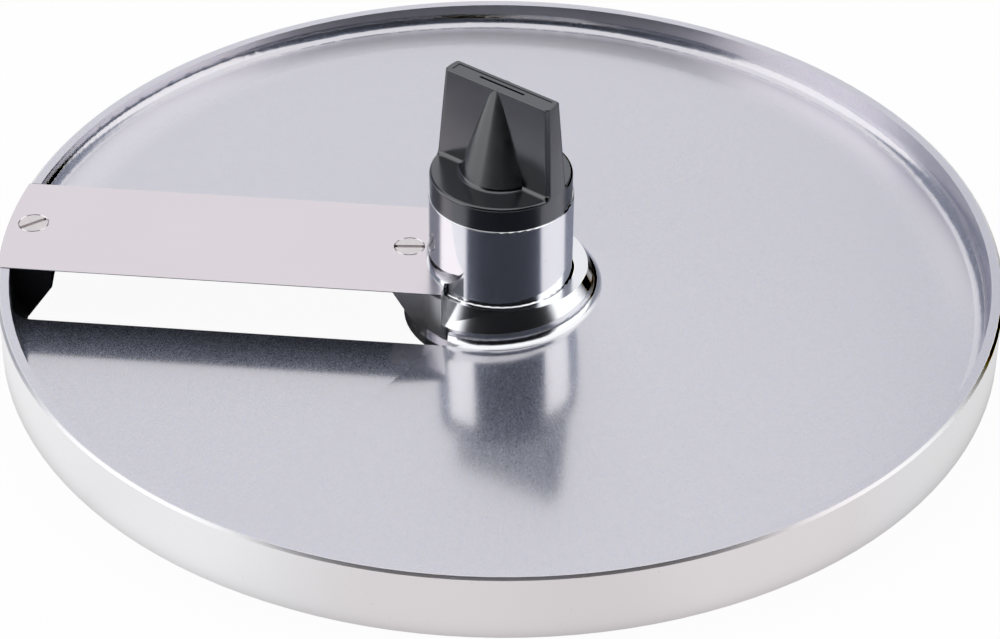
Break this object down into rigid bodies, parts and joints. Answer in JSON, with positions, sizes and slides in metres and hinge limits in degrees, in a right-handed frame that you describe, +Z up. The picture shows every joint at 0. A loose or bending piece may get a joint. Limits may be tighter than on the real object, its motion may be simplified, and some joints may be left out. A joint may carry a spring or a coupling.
{
  "type": "food processor slicing disc",
  "caption": "Cast slicing disc for a table-top vegetable cutter: rimmed plate that climbs as a helical ramp to a straight blade, with a hub and a black lifting knob.",
  "frame": {"origin": "on the turning axis at the rim's bottom face", "axes": "+Z up along the turning axis towards the knob, blade along -X, cutting edge towards -Y"},
  "size_m": [0.185, 0.185, 0.0492],
  "materials": {
    "cast_aluminium": "satin, machined and polished",
    "blade_steel": "ground stainless steel",
    "screw_steel": "turned stainless steel",
    "black_plastic": "moulded, satin"
  },
  "bodies": {
    "root": {"disc_body": "cast_aluminium", "blade": "blade_steel", "blade_screws": "screw_steel", "knob": "black_plastic", "knob_screw": "screw_steel"}
  },
  "joints": []
}
